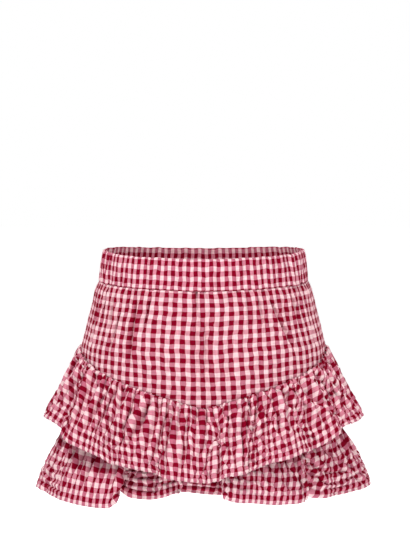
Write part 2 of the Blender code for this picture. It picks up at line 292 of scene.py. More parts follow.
def new_cloth(name, points, run, down, material, thickness, moved_out):
    """Thin shell over a grid of points, with the cloth's own lengths as its map."""
    rows, columns = points.shape[0] - 1, points.shape[1] - 1
    count = rows * columns
    row, column = np.divmod(np.arange(count), columns)
    width = columns + 1
    here = row * width + column
    below = here + width
    faces = np.stack([here, below, below + 1, here + 1], axis=1)
    mesh = bpy.data.meshes.new(name)
    mesh.vertices.add(points.shape[0] * points.shape[1])
    mesh.vertices.foreach_set("co", points.reshape(-1).astype(np.float32))
    mesh.loops.add(4 * count)
    mesh.loops.foreach_set("vertex_index", faces.reshape(-1).astype(np.int32))
    mesh.polygons.add(count)
    mesh.polygons.foreach_set("loop_start", np.arange(0, 4 * count, 4, dtype=np.int32))
    mesh.update(calc_edges=True)
    mesh.validate()
    cloth_map = mesh.uv_layers.new(name="cloth")
    lengths = np.stack([run, down], axis=-1).reshape(-1, 2)
    cloth_map.data.foreach_set("uv", lengths[faces.reshape(-1)].reshape(-1).astype(np.float32))
    if material is not None:
        mesh.materials.append(material)
    mesh.shade_smooth()
    piece = bpy.data.objects.new(name, mesh)
    bpy.context.scene.collection.objects.link(piece)
    if thickness:
        solidify = piece.modifiers.new("cloth", "SOLIDIFY")
        solidify.thickness = thickness
        solidify.offset = 1.0 if moved_out else -1.0
    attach(piece, "root")
    return piece


WANDER_SIZE = 0.011  # over this length a yarn strays from its line and comes back
WANDER_REACH = 4.0
STRIPE_EDGE = (0.43, 0.51)  # where a stripe's dyed yarns begin
SLUB_WIDTH = 0.0011  # thicker and thinner stretches of yarn
SLUB_LENGTH = 0.014
PUCKER_WIDTH = 0.0032
PUCKER_LENGTH = 0.009
YARN_SPACING = 0.0006
YARN_HEIGHT = 0.05


def gingham_group():
    """Two-colour check woven of dyed and undyed yarns, with its crinkle as a height."""
    group = bpy.data.node_groups.new("gingham", "ShaderNodeTree")
    for name, kind, way, value in (
        ("Cloth", "Vector", "INPUT", None),
        ("Check", "Float", "INPUT", CHECK),
        ("Wander", "Float", "INPUT", 0.0006),
        ("Undyed", "Color", "INPUT", (1.0, 1.0, 1.0, 1.0)),
        ("Weft", "Color", "INPUT", (0.5, 0.5, 0.5, 1.0)),
        ("Warp", "Color", "INPUT", (0.5, 0.5, 0.5, 1.0)),
        ("Crossing", "Color", "INPUT", (0.1, 0.0, 0.0, 1.0)),
        ("Color", "Color", "OUTPUT", None),
        ("Height", "Float", "OUTPUT", None),
    ):
        socket = group.interface.new_socket(name=name, in_out=way, socket_type=f"NodeSocket{kind}")
        if value is not None:
            socket.default_value = value
    nodes, links = group.nodes, group.links
    enter = nodes.new("NodeGroupInput")
    leave = nodes.new("NodeGroupOutput")

    def worked(kind, operation, values):
        node = nodes.new(kind)
        node.operation = operation
        for socket, value in values.items():
            if isinstance(value, bpy.types.NodeSocket):
                links.new(value, node.inputs[socket])
            else:
                node.inputs[socket].default_value = value
        return node.outputs[0]

    def maths(operation, *values):
        return worked("ShaderNodeMath", operation, dict(enumerate(values)))

    def vector(operation, *values):
        return worked("ShaderNodeVectorMath", operation, dict(enumerate(values)))

    def noise(place, scale, detail):
        node = nodes.new("ShaderNodeTexNoise")
        node.inputs["Scale"].default_value = scale
        node.inputs["Detail"].default_value = detail
        links.new(place, node.inputs["Vector"])
        return node

    def mixed(share, first, second, blend="MIX"):
        node = nodes.new("ShaderNodeMix")
        node.data_type = "RGBA"
        node.blend_type = blend
        colours = [socket for socket in node.inputs if socket.type == "RGBA"]
        links.new(first, colours[0])
        links.new(second, colours[1])
        if share is None:
            node.inputs["Factor"].default_value = 1.0
        else:
            links.new(share, node.inputs["Factor"])
        return [socket for socket in node.outputs if socket.type == "RGBA"][0]

    cloth = enter.outputs["Cloth"]
    wander = noise(cloth, 1.0 / WANDER_SIZE, 1.5).outputs["Color"]
    centred = vector("SUBTRACT", wander, (0.5, 0.5, 0.5))
    reach = maths("MULTIPLY", enter.outputs["Wander"], WANDER_REACH)
    strayed = worked("ShaderNodeVectorMath", "SCALE", {0: centred, "Scale": reach})
    parts = nodes.new("ShaderNodeSeparateXYZ")
    links.new(vector("ADD", cloth, strayed), parts.inputs[0])

    def stripes(along):
        wave = maths("DIVIDE", maths("PINGPONG", along, enter.outputs["Check"]), enter.outputs["Check"])
        node = nodes.new("ShaderNodeMapRange")
        node.interpolation_type = "SMOOTHSTEP"
        links.new(wave, node.inputs["Value"])
        node.inputs["From Min"].default_value, node.inputs["From Max"].default_value = STRIPE_EDGE
        return node.outputs["Result"]

    dyed_warp = stripes(parts.outputs["X"])
    dyed_weft = stripes(parts.outputs["Y"])
    pale = mixed(dyed_weft, enter.outputs["Undyed"], enter.outputs["Weft"])
    deep = mixed(dyed_weft, enter.outputs["Warp"], enter.outputs["Crossing"])
    check = mixed(dyed_warp, pale, deep)

    warp_slubs = noise(vector("MULTIPLY", cloth, (1.0 / SLUB_WIDTH, 1.0 / SLUB_LENGTH, 1.0)), 1.0, 1.0)
    weft_slubs = noise(vector("MULTIPLY", cloth, (1.0 / SLUB_LENGTH, 1.0 / SLUB_WIDTH, 1.0)), 1.0, 1.0)
    slubs = maths("ADD", warp_slubs.outputs["Fac"], weft_slubs.outputs["Fac"])
    shade = maths("MULTIPLY_ADD", slubs, 0.5, 0.5)
    links.new(mixed(None, check, shade, "MULTIPLY"), leave.inputs["Color"])

    pucker = noise(vector("MULTIPLY", cloth, (1.0 / PUCKER_WIDTH, 1.0 / PUCKER_LENGTH, 1.0)), 1.0, 2.0)
    across, down = [maths("SINE", maths("MULTIPLY", parts.outputs[way], 2.0 * math.pi / YARN_SPACING))
                    for way in ("X", "Y")]
    yarns = maths("MULTIPLY", maths("ADD", across, down), YARN_HEIGHT)
    relief = maths("ADD", maths("ADD", pucker.outputs["Fac"], yarns), maths("MULTIPLY", slubs, 0.25))
    links.new(relief, leave.inputs["Height"])
    return group


GINGHAM = gingham_group()
UNDYED = (0.8, 0.55, 0.565, 1.0)
WEFT_RED = (0.575, 0.235, 0.285, 1.0)
WARP_RED = (0.455, 0.145, 0.198, 1.0)
CROSSING_RED = (0.195, 0.001, 0.013, 1.0)
PAINTED_SHADE_RED = 0.84  # painted shade: green and blue left in the half-dyed squares of drawn-up cloth, a red cast standing in for light bounced between its folds


def crinkled_gingham(name, wander=0.0006, painted_shade_tint=1.0):
    material = bpy.data.materials.new(name)
    material.use_nodes = True
    nodes, links = material.node_tree.nodes, material.node_tree.links
    shader = nodes["Principled BSDF"]
    shader.inputs["Roughness"].default_value = 0.92
    shader.inputs["Specular IOR Level"].default_value = 0.0
    shader.inputs["Sheen Weight"].default_value = 0.02
    shader.inputs["Sheen Roughness"].default_value = 0.6
    shader.inputs["Sheen Tint"].default_value = (0.9, 0.45, 0.5, 1.0)
    cloth = nodes.new("ShaderNodeUVMap")
    cloth.uv_map = "cloth"
    weave = nodes.new("ShaderNodeGroup")
    weave.node_tree = GINGHAM
    weave.inputs["Wander"].default_value = wander
    weave.inputs["Undyed"].default_value = UNDYED
    # Below 1 this takes green and blue out of the half-dyed squares: painted shade, the red cast of light
    # bounced between folds
    for yarns, colour in (("Weft", WEFT_RED), ("Warp", WARP_RED)):
        red, green, blue = colour[0], painted_shade_tint * colour[1], math.sqrt(painted_shade_tint) * colour[2]
        weave.inputs[yarns].default_value = (red, green, blue, 1.0)
    weave.inputs["Crossing"].default_value = CROSSING_RED
    links.new(cloth.outputs["UV"], weave.inputs["Cloth"])
    links.new(weave.outputs["Color"], shader.inputs["Base Color"])
    relief = nodes.new("ShaderNodeBump")
    relief.inputs["Strength"].default_value = 0.9
    relief.inputs["Distance"].default_value = 0.0007
    links.new(weave.outputs["Height"], relief.inputs["Height"])
    links.new(relief.outputs["Normal"], shader.inputs["Normal"])
    return material


def yoke(name, start, end, creases, seed):
    """Panel from the waistband's foot to the ruffle seam, its lower edge turned in."""
    levels = np.append(np.linspace(0.0, 1.0 - EDGE_SHARE, YOKE_ROWS), 1.0)
    angle, share = np.meshgrid(np.linspace(start, end, YOKE_COLUMNS + 1), levels)
    top, foot = band_foot_height(angle) - SEAM_GAP, v_seam_height(angle)
    height = top + (foot - top) * share
    girth = angle * HIP_DEGREE
    from_band, from_seam = top - height, height - foot
    small = short_gathers(seed, start, end, spacing=2.4, reach=0.26, width=0.0012, depth=0.0011)
    offset = MAIN_CREASES * creased(creases, angle, share) + creased(small, angle, share)
    offset += swells(seed + 1, girth, height, YOKE_SWELLS) * eased(0.0, FIRM_BELOW_BAND, from_band)
    offset -= EDGE_DIP * (1.0 - eased(0.0, SEAM_EDGE, from_seam))
    offset -= EDGE_DIP * (1.0 - eased(0.0, BAND_EDGE, from_band))
    points = ring_points(angle, height, offset)
    smooth_points = ring_points(angle, height, np.zeros(angle.shape))
    run = run_of_cloth(points, smooth_points, drawn_thin(angle), YOKE_CUT, ROWS_ALIKE)
    down = ROW_SHIFT + from_band * around(angle, *ROW_STRETCH)
    panel = new_cloth(f"{name}_cloth", points, run, down,
                      crinkled_gingham(f"{name}_gingham", 0.0008), WALL, False)
    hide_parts(name)


yoke("yoke_front", -90.0, 90.0, YOKE_FRONT_CREASES, 11)
yoke("yoke_back", 90.0, 270.0, YOKE_BACK_CREASES, 21)

# ---------------------------------------------------------------- under panels
# Plain lower part of the skirt body that the top ruffle hides. It is the same cotton,
# caught in the V seam at its top, and it carries the second ruffle at its lower edge.

LOW_SEAM_FRONT = -0.178
LOW_SEAM_SIDE = -0.184
LOW_SEAM_LAP = 0.002
UNDER_CUT = 0.385
UNDER_COLUMNS = 150
UNDER_ROWS = 24


def low_seam_height(angle):
    return around(angle, LOW_SEAM_FRONT, LOW_SEAM_SIDE, LOW_SEAM_SIDE)


def under_panel(name, start, end, seed):
    angle, share = np.meshgrid(np.linspace(start, end, UNDER_COLUMNS + 1),
                               np.linspace(0.0, 1.0, UNDER_ROWS + 1))
    top, foot = v_seam_height(angle) - 0.0003, low_seam_height(angle)
    height = top + (foot - top) * share
    offset = uneven(seed, angle * HIP_DEGREE, height, 0.012, 0.02) * 0.0003 - 0.0004
    points = ring_points(angle, height, offset)
    run = (angle - start) / 180.0 * UNDER_CUT
    down = top - height
    panel = new_cloth(f"{name}_cloth", points, run, down,
                      crinkled_gingham(f"{name}_gingham"), WALL, False)
    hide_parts(name)
    return panel


under_front = under_panel("under_panel_front", -90.0, 90.0, 31)
under_back = under_panel("under_panel_back", 90.0, 270.0, 35)

# ---------------------------------------------------------------- lower ruffle
# A straight strip of the same cotton, gathered to about half its length, hemmed with a
# narrow turned edge and sewn to the under panel. The gathers merge into wide soft folds.

RUFFLE_CUT = 0.64  # length of one gathered strip
LAYER_CLEARANCE = 0.0012
COLUMNS_ALIKE = 9  # check rows run evenly over this many columns to each side
HEM_ROW = 0.0016  # the lowest dark row stands this much nearer to the edge
HEM_TURN = 0.009  # depth of the turned hem
BUNDLE_CLOTH = 0.012  # cloth packed in a common bundle
RUFFLE_COLUMNS = 252
RUFFLE_ROWS = 30
SIM_SCALE = 10.0  # the simulation is steadier on a larger garment
DRAW_FRAMES = 20  # drawing the strip up on its seam
SETTLE_FRAMES = 14
FOLD_DEPTH = 0.5  # crumpled cloth has deeper main folds before it is drawn up
FOLD_EDGE = 1.2  # what the folds keep of their edges after it
HOLD = 0.14  # how firmly the cloth keeps to its listed folds
WARP_LEAN = 12.0  # degrees that the hem's yarns hang nearer to the middle
PANEL_EASE = 1.04  # cloth in the flat panels, to their own width
ROW_LEVEL = 0.55  # how level the panels' rows hang below a sloping seam
PLEAT_CLOTH = 0.0045  # cloth taken up by one narrow fold
PLEAT_WIDTH = 0.0012
PLEAT_DEPTH = 0.003
# Swells of the drawn-up cloth, and of the settled cloth on top, in the same terms as the skirt's.
CRUMPLES = ((0.006, 0.018, 0.0014), (0.011, 0.03, 0.0018))
CRINKLES = ((0.003, 0.007, 0.00028), (0.006, 0.005, 0.00024))
SEAM_STEP = 0.0018  # below its seam the cloth stands this much further out
SEAM_DIP = 0.0008  # drawn in by the seam's stitches
HEM_DIP = 0.0005  # and by the hem's
HEM_DIP_WIDTH = 0.0009
ROWS_SPARE = 20.0  # the rows are counted from well above the seam
WRAP_MARGIN = 45.0  # degrees past each end of a strip before angles start again
FINE_PLACES = 1441  # places at which the cloth's density is worked out
BELL_AREA = 1.772  # under a bell curve that is one wide and one high
SEWN_STEP = 0.0003  # from the skirt body to the cloth sewn over it
LOW_FLARE = (0.028, 0.0445, 0.042)  # in front, at the sides and behind
LOW_SWING = 0.78  # below 1 it flares at once, above 1 near its hem

TABLE_UNIT = 10000  # hems and lobes are tabled in tenths of a millimetre
# Height of the hem by the angle around the body.
LOW_HEM = (
    (-90, -2610), (-62, -2630), (-38, -2675), (-33.6, -2650), (-30.6, -2490), (-26, -2560), (-18, -2540),
    (-8, -2480), (2, -2520), (12, -2555), (26, -2595), (38.5, -2600), (41.5, -2580), (44, -2520),
    (50, -2595), (60, -2600), (90, -2570), (135, -2600), (180, -2570), (230, -2600), (270, -2610),
)
# How far the hem of each lobe stands out past the even flare, or is set back from it.
LOW_EDGE = (
    (-90, 0), (-82, 20), (-75, -40), (-67, 0), (-58, 40), (-46, 70), (-35.5, 80), (-32.2, 60),
    (-30.6, -150), (-24, -110), (-15, -40), (-8.6, -60), (-6.6, -190), (0, -230), (5.6, -200), (7.6, 30),
    (14, 60), (27, 40), (35, 50), (41, 30), (43.2, -130), (51, -80), (59, -120), (69, -50), (78, 20),
    (90, 0), (104, 50), (113, 30), (116, -110), (122, -80), (131, 50), (143, 40), (147, -110), (153, -60),
    (165, 55), (174, 20), (177, -120), (183, -80), (194, 45), (205, 20), (210, -110), (216, -50), (226, 50),
    (237, 30), (241, -90), (247, -40), (256, 45), (270, 0),
)
LOW_CREASES_FRONT = rows_of(Crease, (
    (-66, -62, 20, 80, 20, -22), (-64.5, -66, 50, 90, 16, -16), (-78, -76, 10, 120, 22, -22),
    (-52, -54, 30, 110, 24, -15), (-45, -40, 40, 95, 20, -14), (-36, -34, 20, 90, 22, -18),
    (-22, -23.5, 30, 110, 26, -20), (-13, -11, 40, 120, 22, -22), (7.2, 7.4, 30, 120, 18, -25),
    (17, 15.5, 25, 100, 20, -14), (24, 23, 45, 110, 24, -12), (33, 38, 20, 110, 20, -22),
    (36.5, 39, 15, 90, 18, -20), (42.2, 42.4, 35, 120, 18, -30), (48, 53, 25, 110, 20, -24),
    (58, 63, 20, 80, 16, -18), (62, 72, 30, 95, 17, -20), (70, 76, 10, 110, 20, -22),
))
LOW_CREASES_BACK = rows_of(Crease, (
    (101, 98, 10, 110, 20, -22), (110, 112, 25, 100, 20, -18), (121.5, 119, 15, 120, 22, -24),
    (132, 136, 30, 95, 18, -16), (143, 142, 20, 120, 22, -22), (154, 158, 35, 100, 20, -18),
    (168, 165, 15, 110, 20, -20), (181, 182, 25, 120, 22, -24), (190, 187, 40, 100, 18, -14),
    (203, 206, 20, 110, 22, -22), (214, 212, 15, 90, 20, -18), (229, 233, 30, 120, 20, -20),
    (238, 240, 10, 100, 22, -24), (250, 247, 30, 110, 18, -18), (261, 262, 15, 110, 20, -20),
))


# Where a lobe ends, the cloth beyond it is tucked in behind: reach says how far and to which
# side, and shift by how many degrees at the hem.
Tuck = namedtuple("Tuck", "angle reach shift")
Tuck.UNITS = (1, 1, 1)
LOW_TUCKS = rows_of(Tuck, (
    (-32, 13, -7), (-8.4, 8, -4), (7.4, -9, 4), (41.2, 12, -6), (113.4, 12, -6), (143.4, 12, -6),
    (174.4, 12, -6), (206, 12, -6), (237.4, 12, -6),
))


def low_ruffle_top(angle):
    return low_seam_height(angle) + LOW_SEAM_LAP


def flared(seam, hem, flare, swing, edge, angle, height):
    """Inner face of a ruffle out from the skirt body: its flare from seam to hem and its lobes."""
    along = np.clip((seam - height) / (seam - between(hem, angle, unit=TABLE_UNIT)), 0.0, 1.0)
    lobes = between(edge, angle, unit=TABLE_UNIT) * along ** 1.5
    return SEWN_STEP + around(angle, *flare) * along ** swing + lobes


def low_ruffle_form(angle, height):
    return flared(low_ruffle_top(angle), LOW_HEM, LOW_FLARE, LOW_SWING, LOW_EDGE, angle, height)


# A bundle is a place where the gathering packs more cloth, in mm, than in the flat panels.
Bundle = namedtuple("Bundle", "angle foot_angle width cloth")
Bundle.UNITS = (1, 1, 1, 1000)
LOW_BUNDLES = rows_of(Bundle, (
    (-80, -79, 3, 8), (-66, -63, 2.5, 10), (-50, -52, 3, 6), (-30, -29, 3, 20), (-12, -10, 3.5, 22),
    (5, 6, 3, 24), (18, 19, 3, 12), (31, 32, 2.5, 8), (41, 42, 2.5, 18), (53, 58, 2.5, 9), (66, 70, 2.5, 9),
    (81, 80, 3, 7), (101, 100, 3, 12), (118, 117, 3, 18), (135, 137, 3, 10), (147, 148, 3, 16),
    (166, 163, 3, 12), (179, 179, 3, 16), (193, 196, 3, 10), (209, 210, 3, 18), (224, 221, 3, 10),
    (240, 241, 3, 16), (258, 259, 3, 12),
))


# What both halves of a ruffle share: among it how firmly the hem is held, how far a bundle
# lifts it, how crumpled the cloth is drawn up, and how near together its check rows lie.
Tier = namedtuple("Tier", "bundles tucks top hem form depth hem_hold hem_lift crumple row_ease")


def lifted_hem(tier, angle):
    """The hem is drawn up a little wherever the cloth is packed."""
    lift = np.zeros(angle.shape)
    for bundle in tier.bundles:
        away = (angle - bundle.foot_angle) / bundle.width
        lift += tier.hem_lift * bundle.cloth / BUNDLE_CLOTH * np.exp(-away * away)
    return between(tier.hem, angle, unit=TABLE_UNIT) + lift


def warp_angles(bundles, start, end, share, girths):
    """Angle of each warp yarn at each depth below the seam, dense in the bundles.

    Between the bundles the cloth lies nearly flat, and it hangs straighter than the flare.
    """
    places = np.linspace(start, end, FINE_PLACES)
    middle = 0.5 * (start + end)
    aside = (places - middle) / 90.0
    lean = WARP_LEAN * np.sin(0.5 * math.pi * aside) * (1.0 - aside ** 4)
    inside = [bundle for bundle in bundles if start < bundle.angle < end]
    bundled = sum(bundle.cloth for bundle in inside)
    angle = np.empty((len(share), RUFFLE_COLUMNS + 1))
    for row, down in enumerate(share):
        density = np.gradient(np.interp(places, places - lean * down, places), places)
        density *= PANEL_EASE * girths[row] / (end - start)
        spare = max(RUFFLE_CUT - PANEL_EASE * girths[row], 0.0) / bundled
        for bundle in inside:
            centre = bundle.angle + (bundle.foot_angle - bundle.angle) * down
            peak = spare * bundle.cloth / (BELL_AREA * bundle.width)
            density += peak * np.exp(-(((places - centre) / bundle.width) ** 2))
        run = np.concatenate([[0.0], np.cumsum(density[1:] + density[:-1])])
        angle[row] = np.interp(np.linspace(0.0, run[-1], RUFFLE_COLUMNS + 1), run, places)
    return angle


def tucked(tucks, angle, share):
    """Angle of each point once the ends of the lobes overlap their neighbours."""
    shift = np.zeros(angle.shape)
    for tuck in tucks:
        beyond = (angle - tuck.angle) / tuck.reach
        shift += tuck.shift * eased(0.0, 0.12, beyond) * (1.0 - eased(0.12, 1.0, beyond))
    return angle + shift * share ** 1.5


def stepped_rows(tier, start, end, angle, share):
    """How far the check rows of each panel stay level below a sloping seam."""
    inside = [bundle for bundle in tier.bundles if start < bundle.angle < end]
    shift = np.empty(angle.shape)
    for row in range(len(angle)):
        down = share[row, 0]
        folds = [bundle.angle + (bundle.foot_angle - bundle.angle) * down for bundle in inside]
        edges = [start] + folds + [end]
        knots, drops = [], []
        for near, far in zip(edges[:-1], edges[1:]):
            level = tier.top(np.array(0.5 * (near + far)))
            for knot in (near + 0.6, far - 0.6):
                knots.append(knot)
                drops.append(float(tier.top(np.array(knot)) - level))
        shift[row] = np.interp(angle[row], knots, drops)
    return shift * ROW_LEVEL * (1.0 - eased(0.4, 0.95, share))


def pleats(seed, bundles, start, end):
    """Narrow folds side by side in each bundle, of uneven depth and length."""
    chance = np.random.default_rng(seed)
    rows = []
    for bundle in bundles:
        if not start < bundle.angle < end:
            continue
        folds = max(2, round(bundle.cloth / PLEAT_CLOTH))
        for place in np.linspace(-1.0, 1.0, folds):
            aside = bundle.width * 1.1 * (place + chance.uniform(-0.25, 0.25))
            rows.append(Crease(
                bundle.angle + aside,
                bundle.foot_angle + aside * 1.15,
                chance.choice([0.0, 0.0, 0.12, 0.3]),
                chance.uniform(0.65, 1.3),
                PLEAT_WIDTH * chance.uniform(0.8, 1.3),
                -PLEAT_DEPTH * chance.uniform(0.55, 1.15),
                PLEAT_DEPTH * chance.uniform(-0.4, 0.4),
            ))
    return rows


# Light crinkled cotton, as the simulation takes it.
COTTON = {
    "quality": 6, "mass": 0.15, "tension_stiffness": 25.0, "compression_stiffness": 25.0,
    "shear_stiffness": 8.0, "bending_stiffness": 0.05, "vertex_group_mass": "held", "pin_stiffness": 1.0,
}
COTTON_WEIGHT = 0.05  # share of the pull of gravity


def drawn_up(name, flat, gathered, hold, inner):
    """Cloth that starts at its cut size and is drawn up to the gathered shape."""
    rows, columns = flat.shape[:2]
    strip = new_cloth(name, flat * SIM_SCALE, flat[..., 0], flat[..., 2], None, None, True)
    strip.shape_key_add(name="cut")
    drawn = strip.shape_key_add(name="drawn_up")
    drawn.data.foreach_set("co", (gathered * SIM_SCALE).reshape(-1).astype(np.float32))
    held = strip.vertex_groups.new(name="held")
    for row in range(rows):
        held.add(list(range(row * columns, (row + 1) * columns)), float(hold[row]), "REPLACE")
    sides = [row * columns + end for row in range(rows) for end in (0, columns - 1)]
    held.add(sides, 1.0, "REPLACE")
    cloth = strip.modifiers.new("drawing_up", "CLOTH")
    for setting, value in COTTON.items():
        setattr(cloth.settings, setting, value)
    cloth.settings.effector_weights.gravity = COTTON_WEIGHT
    cloth.collision_settings.use_self_collision = False
    cloth.collision_settings.use_collision = inner is not None
    if inner is not None:
        cloth.collision_settings.distance_min = LAYER_CLEARANCE * SIM_SCALE
        cloth.collision_settings.collision_quality = 2
        body = new_cloth("body_below", inner * SIM_SCALE, inner[..., 0], inner[..., 2], None, None, True)
        body.modifiers.new("solid_to_cloth", "COLLISION")
        body.collision.thickness_outer = WALL * SIM_SCALE
    frames = DRAW_FRAMES + SETTLE_FRAMES
    cloth.point_cache.frame_start = 1
    cloth.point_cache.frame_end = frames
    drawn.value = 0.0
    drawn.keyframe_insert("value", frame=1)
    drawn.value = 1.0
    drawn.keyframe_insert("value", frame=1 + DRAW_FRAMES)
    for frame_number in range(1, frames + 1):
        bpy.context.scene.frame_set(frame_number)
    settled = strip.evaluated_get(bpy.context.evaluated_depsgraph_get())
    points = np.empty(rows * columns * 3, np.float32)
    settled.data.vertices.foreach_get("co", points)
    action = strip.data.shape_keys.animation_data.action
    bpy.data.objects.remove(strip, do_unlink=True)
    bpy.data.actions.remove(action)
    if inner is not None:
        bpy.data.objects.remove(body, do_unlink=True)
    bpy.context.scene.frame_set(1)
    return points.reshape(rows, columns, 3).astype(float) / SIM_SCALE


def finer(points, axis):
    """Grid with a smoothly placed point between each two along one axis."""
    points = np.moveaxis(points, axis, 0)
    before = np.concatenate([2.0 * points[:1] - points[1:2], points[:-2]])
    after = np.concatenate([points[2:], 2.0 * points[-1:] - points[-2:-1]])
    middle = (9.0 * (points[:-1] + points[1:]) - before - after) / 16.0
    refined = np.empty((2 * len(points) - 1,) + points.shape[1:])
    refined[0::2] = points
    refined[1::2] = middle
    return np.moveaxis(refined, 0, axis)


def outward_normals(points):
    across = np.gradient(points, axis=1)
    down = np.gradient(points, axis=0)
    normals = np.cross(down, across)
    normals /= np.linalg.norm(normals, axis=-1, keepdims=True) + 1e-12
    outward = (normals[..., :2] * points[..., :2]).sum(axis=-1)
    return normals * np.where(outward.mean() < 0.0, -1.0, 1.0)


def kept_outside(inner_pieces, points):
    """Move points out from the axis until they clear the pieces that they hang over."""
    clear = points.copy()
    for piece in inner_pieces:
        settled = piece.evaluated_get(bpy.context.evaluated_depsgraph_get())
        tree = BVHTree.FromPolygons([v.co for v in settled.data.vertices],
                                    [p.vertices[:] for p in settled.data.polygons])
        for index in np.ndindex(points.shape[:2]):
            x, y, z = clear[index]
            radius = math.hypot(x, y)
            outward = Vector((x / radius, y / radius, 0.0))
            hit = tree.ray_cast(Vector((0.0, 0.0, z)) + outward * 0.3, -outward)[0]
            if hit is not None:
                least = math.hypot(hit.x, hit.y) + LAYER_CLEARANCE
                if radius < least:
                    clear[index][0] = outward.x * least
                    clear[index][1] = outward.y * least
    return clear


def gathering(points):
    """0.2 where the cloth lies flat, up to 1 where it is drawn together."""
    spacing = np.linalg.norm(np.gradient(points, axis=1), axis=-1)
    even = RUFFLE_CUT / (points.shape[1] - 1)
    return np.clip((even / (spacing + 1e-6) - 1.0) / 0.6, 0.2, 1.0)


def height_above_hem(points):
    """How far each point lies from the hem along the cloth, evened out between columns."""
    steps = np.linalg.norm(np.diff(points, axis=0), axis=2)
    above = np.concatenate([np.cumsum(steps[::-1], axis=0)[::-1], np.zeros((1, points.shape[1]))])
    padded = np.pad(above, ((0, 0), (COLUMNS_ALIKE, COLUMNS_ALIKE)), "edge")
    total = np.concatenate([np.zeros((len(above), 1)), np.cumsum(padded, axis=1)], axis=1)
    window = 2 * COLUMNS_ALIKE + 1
    return (total[:, window:] - total[:, :-window]) / window


def ruffle(name, tier, creases, start, end, seed, inner, over):
    """Strip drawn up on its seam, with check rows level with the hem and a turned hem."""
    down_share = np.linspace(0.0, 1.0, RUFFLE_ROWS + 1)
    even, share = np.meshgrid(np.linspace(start, end, RUFFLE_COLUMNS + 1), down_share)
    level = tier.top(even) + (lifted_hem(tier, even) - tier.top(even)) * share
    ring = ring_points(even, level, tier.form(even, level))
    girths = np.linalg.norm(np.diff(ring, axis=1), axis=2).sum(axis=1)
    angle = warp_angles(tier.bundles, start, end, down_share, girths)
    seam = tier.top(angle)
    height = seam + (lifted_hem(tier, angle) - seam) * share
    placed = tucked(tier.tucks, angle, share)
    smooth = ring_points(placed, height, tier.form(angle, height))
    small = short_gathers(seed + 2, start, end, spacing=3.2, reach=0.45, width=0.0018, depth=0.0022)
    relief = creased(small, angle, share)
    relief += creased(pleats(seed + 3, tier.bundles, start, end), angle, share)
    relief *= 0.4 + 0.6 * tier.crumple
    relief += (1.0 + FOLD_DEPTH * tier.crumple) * creased(creases, angle, share)
    gathered = gathering(smooth)
    for i, (wide, tall, high) in enumerate(CRUMPLES):
        swell = uneven(seed + i, angle * HIP_DEGREE, height, wide, tall)
        relief += swell * high * gathered * tier.crumple
    relief *= 0.25 + 0.75 * eased(0.0, 0.07, share)
    relief += SEAM_STEP * (1.0 - np.exp(-share / 0.14))
    points = ring_points(placed, height, tier.form(angle, height) + relief)
    length = np.linalg.norm(np.diff(smooth, axis=1), axis=2).sum(axis=1)
    spread = (RUFFLE_CUT / length)[:, None]
    flat = np.stack([smooth[..., 0] * spread, smooth[..., 1] * spread,
                     seam - share * tier.depth], axis=-1)
    hold = HOLD + (tier.hem_hold - HOLD) * down_share ** 2
    hold[0] = 1.0
    points = drawn_up(name, flat, points, hold, over)

    points = finer(finer(points, 0), 1)
    run, share = np.meshgrid(np.linspace(0.0, RUFFLE_CUT, points.shape[1]),
                             np.linspace(0.0, 1.0, len(points)))
    turn = np.degrees(np.arctan2(points[..., 0], -points[..., 1]))
    angle = (turn - start + WRAP_MARGIN) % 360.0 + start - WRAP_MARGIN
    above_hem = height_above_hem(points)
    gathered = gathering(ring_points(angle, points[..., 2], tier.form(angle, points[..., 2])))
    crisp = FOLD_EDGE * creased(creases, angle, share)
    streaks = short_gathers(seed + 4, start, end, spacing=1.4, reach=0.6, width=0.001, depth=0.0017)
    crisp += creased(streaks, angle, share) * (0.25 + 0.75 * gathered) * tier.crumple
    crinkle = swells(seed + 5, run, share * tier.depth, CRINKLES)
    crisp += crinkle * (0.4 + 0.6 * eased(0.0, HEM_TURN, above_hem)) * eased(0.0, 0.3, share)
    crisp -= SEAM_DIP * (1.0 - eased(0.0, 0.03, share))
    crisp -= HEM_DIP * np.exp(-(((above_hem - HEM_TURN) / HEM_DIP_WIDTH) ** 2))
    spacing = np.linalg.norm(np.gradient(points, axis=1), axis=-1) / (run[0, 1] - run[0, 0])
    from_side = np.minimum(angle - start, end - angle)
    crisp *= np.clip(1.4 * spacing, 0.0, 1.0) * eased(0.0, 2.0, from_side)
    points = kept_outside(inner, points + outward_normals(points) * crisp[..., None])
    down = PITCH * ROWS_SPARE + HEM_ROW - tier.row_ease * above_hem
    down -= stepped_rows(tier, start, end, angle, share)
    # The ruffles' reddened half-tones are painted shade for the light bounced between their folds
    piece = new_cloth(f"{name}_cloth", points, run, down,
                      crinkled_gingham(f"{name}_gingham", 0.0005, PAINTED_SHADE_RED), WALL, True)
    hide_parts(name)
    return piece, points


LOW_TIER = Tier(LOW_BUNDLES, LOW_TUCKS, low_ruffle_top, LOW_HEM, low_ruffle_form,
                depth=0.085, hem_hold=0.85, hem_lift=0.0012, crumple=0.15, row_ease=0.9)
low_front, low_front_points = ruffle(
    "lower_ruffle_front", LOW_TIER, LOW_CREASES_FRONT, -90.0, 90.0, 41, [under_front], None)
low_back, low_back_points = ruffle(
    "lower_ruffle_back", LOW_TIER, LOW_CREASES_BACK, 90.0, 270.0, 51, [under_back], None)

# ---------------------------------------------------------------- top ruffle
# The same gathered strip, sewn into the V seam under the skirt body's turned edge. It
# hangs clear over the lower ruffle, with tight pleats at the seam and broad flat panels.

